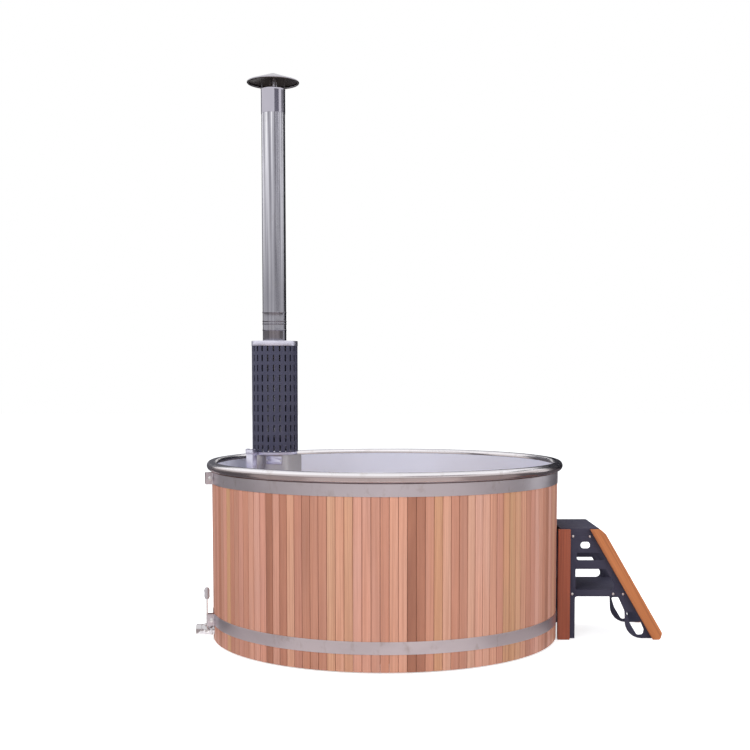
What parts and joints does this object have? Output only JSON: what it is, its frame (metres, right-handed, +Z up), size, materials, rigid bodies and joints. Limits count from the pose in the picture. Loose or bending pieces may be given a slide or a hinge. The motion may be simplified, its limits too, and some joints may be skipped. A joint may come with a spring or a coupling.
{
  "type": "wooden hot tub",
  "caption": "Round wooden hot tub with a steel liner, an inside wood stove with a guarded chimney, a drain valve and loose steps.",
  "frame": {"origin": "on the ground, on the axis of the tub, under its middle beam", "axes": "+Z up along the tub's axis, +X from the tub towards its steps, +Y to the far side, where the stove is nearer"},
  "size_m": [2.6671, 2.0598, 3.335],
  "materials": {
    "stave_wood": "oiled spruce boards of mixed tone, from pale salmon to brown",
    "bench_wood": "planed boards, lightly oiled",
    "frame_wood": "planed boards",
    "beam_wood": "impregnated sawn beams",
    "deck_board": "plywood board",
    "post_wood": "stained reddish brown",
    "stringer_wood": "stained orange brown, worn along the edges",
    "liner_steel": "satin stainless sheet",
    "rim_steel": "polished stainless sheet",
    "hoop_steel": "satin stainless band",
    "bolt_steel": "plain stainless",
    "stove_steel": "matt stainless sheet, a little heat-stained",
    "grate_iron": "raw cast iron",
    "handle_wood": "turned hardwood",
    "guard_sheet": "slate grey, satin",
    "guard_ring": "satin stainless",
    "flue_steel": "polished stainless pipe",
    "cap_steel": "stainless sheet",
    "stair_plate": "very dark slate, satin",
    "valve_metal": "cast stainless, matt",
    "ball_steel": "polished",
    "brass": "plain brass",
    "grip_plastic": "dark moulded grip",
    "drain_plastic": "dark moulded bend"
  },
  "bodies": {
    "tub": {"skids": "beam_wood", "floor_deck": "deck_board", "liner": "liner_steel", "rim": "rim_steel", "staves": "stave_wood", "drain_staves": "stave_wood", "upper_hoop": "hoop_steel", "lower_hoop": "hoop_steel", "hoop_bolts": "bolt_steel", "hoop_nuts": "bolt_steel", "bench_supports": "frame_wood", "bench_slats": "bench_wood", "drain_strainer": "bolt_steel", "drain_elbow": "drain_plastic", "drain_pipe": "valve_metal", "valve_body": "valve_metal", "outlet_tail": "valve_metal", "firebox": "stove_steel", "firebox_legs": "stove_steel", "grate": "grate_iron", "soot_hatch": "stove_steel", "hatch_screws": "bolt_steel", "lid_hinge": "stove_steel", "lid_pin": "bolt_steel", "air_pipe": "flue_steel", "flap_bracket": "stove_steel", "fence_rails": "frame_wood", "fence_slats": "bench_wood", "flue_collar": "flue_steel", "guard_base": "guard_ring", "heat_guard": "guard_sheet", "guard_top": "guard_ring", "flue_lower": "flue_steel", "flue_upper": "flue_steel", "flue_cowl": "flue_steel", "cap_straps": "cap_steel", "rain_cap": "cap_steel"},
    "fuel_lid": {"fuel_lid": "stove_steel", "lid_handle": "handle_wood"},
    "air_flap": {"air_flap": "stove_steel"},
    "drain_handle": {"valve_ball": "ball_steel", "valve_stem": "brass", "valve_lever": "bolt_steel", "lever_grip": "grip_plastic"},
    "steps": {"stair_plate_near": "stair_plate", "stair_plate_far": "stair_plate", "stair_posts": "post_wood", "stair_stringers": "stringer_wood", "upper_tread": "stair_plate", "lower_tread": "stair_plate", "stair_bolts": "bolt_steel", "stair_nuts": "bolt_steel"}
  },
  "joints": [
    {"name": "fuel_lid_hinge", "type": "hinge", "parent": "tub", "child": "fuel_lid", "pos_m": [-0.45885, 0.59434, 0.868], "axis": [-0.8607, 0.509, 0], "range_deg": [0, 92]},
    {"name": "air_flap_hinge", "type": "hinge", "parent": "tub", "child": "air_flap", "pos_m": [-0.83647, 0.30648, 1.0633], "axis": [-0.509, -0.8607, 0], "range_deg": [0, 80]},
    {"name": "drain_lever_turn", "type": "hinge", "parent": "tub", "child": "drain_handle", "pos_m": [-1.00761, -0.215, 0.065], "axis": [0, -1, 0], "range_deg": [0, 90]},
    {"name": "steps_slide", "type": "slide", "parent": "tub", "child": "steps", "axis": [1, 0, 0], "range_m": [0, 0.5]}
  ]
}
